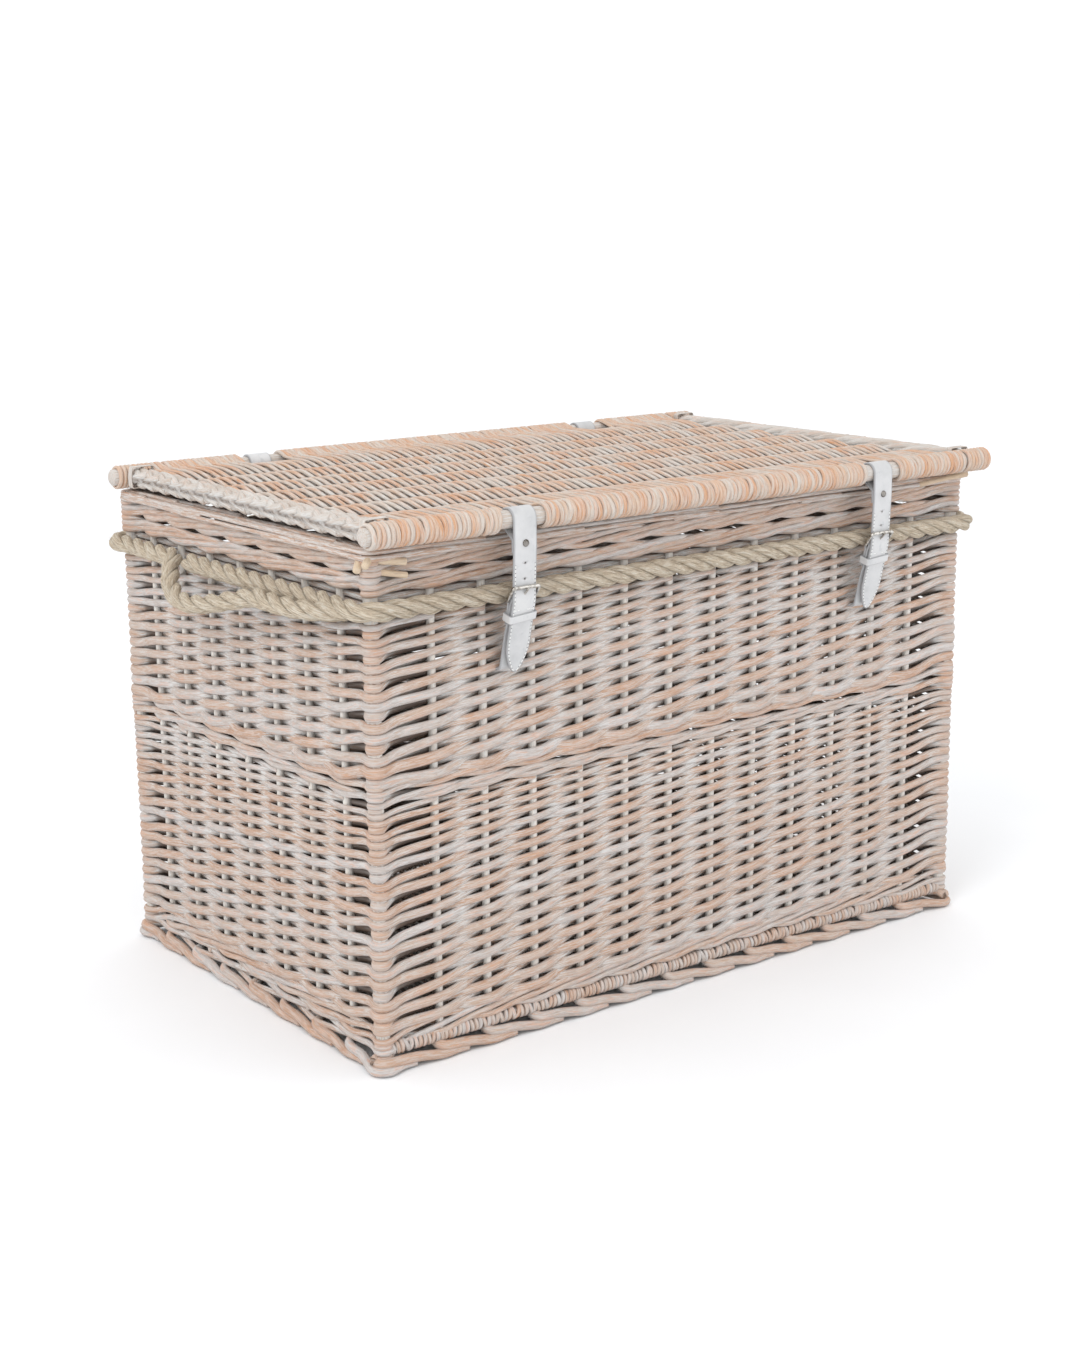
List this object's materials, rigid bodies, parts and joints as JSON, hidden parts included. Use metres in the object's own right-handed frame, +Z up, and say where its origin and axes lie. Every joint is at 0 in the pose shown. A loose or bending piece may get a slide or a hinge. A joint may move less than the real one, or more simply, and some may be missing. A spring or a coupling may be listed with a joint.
{
  "type": "wicker storage trunk",
  "caption": "Rectangular woven willow trunk with a hinged woven lid, leather buckle straps and rope end handles, for storing household things.",
  "frame": {"origin": "on the floor, at the middle of the whole object's outline seen from above", "axes": "+X along the front to the right, +Y from the front to the back, +Z up"},
  "size_m": [0.8676, 0.542, 0.5293],
  "materials": {
    "willow_weave": "whitewashed willow rods, matte, with tan showing through",
    "willow_border": "whitewashed thick willow rods, matte",
    "willow_sticks": "whitewashed willow sticks, matte",
    "rope": "three-strand natural fibre rope, rough",
    "leather": "smooth white leather with stitched edges",
    "nickel": "polished nickel plate"
  },
  "bodies": {
    "trunk": {"foot_border": "willow_border", "base_sticks": "willow_sticks", "base_weave": "willow_weave", "base_waling": "willow_border", "corner_posts": "willow_sticks", "side_stakes": "willow_sticks", "lower_siding": "willow_weave", "middle_waling": "willow_border", "upper_siding": "willow_weave", "top_waling": "willow_border", "rim_border": "willow_border", "front_rope": "rope", "back_rope": "rope", "rope_tails": "rope", "tab_left": "leather", "tab_right": "leather", "tab_rivets": "nickel", "keeper_left": "leather", "keeper_right": "leather", "hinge_loop_left": "leather", "hinge_loop_right": "leather", "hinge_rivets": "nickel"},
    "lid": {"lid_front_stick": "willow_sticks", "lid_back_stick": "willow_sticks", "lid_cross_sticks": "willow_sticks", "lid_weave": "willow_weave", "lid_border_left": "willow_border", "lid_border_right": "willow_border", "corner_lashings": "willow_border"},
    "strap_left": {"strap_left": "leather", "strap_rivet_left": "nickel"},
    "strap_right": {"strap_right": "leather", "strap_rivet_right": "nickel"},
    "buckle_left": {"buckle_frame_left": "nickel"},
    "buckle_right": {"buckle_frame_right": "nickel"},
    "prong_left": {"prong_left": "nickel"},
    "prong_right": {"prong_right": "nickel"},
    "handle_left": {"rope_handle_left": "rope"},
    "handle_right": {"rope_handle_right": "rope"}
  },
  "joints": [
    {"name": "lid_hinge", "type": "hinge", "parent": "trunk", "child": "lid", "pos_m": [0, 0.23876, 0.5165], "axis": [-1, 0, 0], "range_deg": [0, 105]},
    {"name": "strap_left_swing", "type": "hinge", "parent": "lid", "child": "strap_left", "pos_m": [-0.232, -0.25424, 0.5165], "axis": [-1, 0, 0], "range_deg": [0, 150]},
    {"name": "buckle_left_swing", "type": "hinge", "parent": "trunk", "child": "buckle_left", "pos_m": [-0.232, -0.25624, 0.441], "axis": [1, 0, 0], "range_deg": [0, 50]},
    {"name": "prong_left_swing", "type": "hinge", "parent": "buckle_left", "child": "prong_left", "pos_m": [-0.232, -0.25624, 0.441], "axis": [1, 0, 0], "range_deg": [0, 45]},
    {"name": "handle_left_lift", "type": "hinge", "parent": "trunk", "child": "handle_left", "pos_m": [-0.3915, 0.12476, 0.446], "axis": [0.0876, 0.9952, 0.0428], "range_deg": [0, 95]},
    {"name": "strap_right_swing", "type": "hinge", "parent": "lid", "child": "strap_right", "pos_m": [0.232, -0.25424, 0.5165], "axis": [-1, 0, 0], "range_deg": [0, 150]},
    {"name": "buckle_right_swing", "type": "hinge", "parent": "trunk", "child": "buckle_right", "pos_m": [0.232, -0.25624, 0.441], "axis": [1, 0, 0], "range_deg": [0, 50]},
    {"name": "prong_right_swing", "type": "hinge", "parent": "buckle_right", "child": "prong_right", "pos_m": [0.232, -0.25624, 0.441], "axis": [1, 0, 0], "range_deg": [0, 45]},
    {"name": "handle_right_lift", "type": "hinge", "parent": "trunk", "child": "handle_right", "pos_m": [0.3915, 0.12476, 0.446], "axis": [0.0876, -0.9952, -0.0428], "range_deg": [0, 95]}
  ]
}
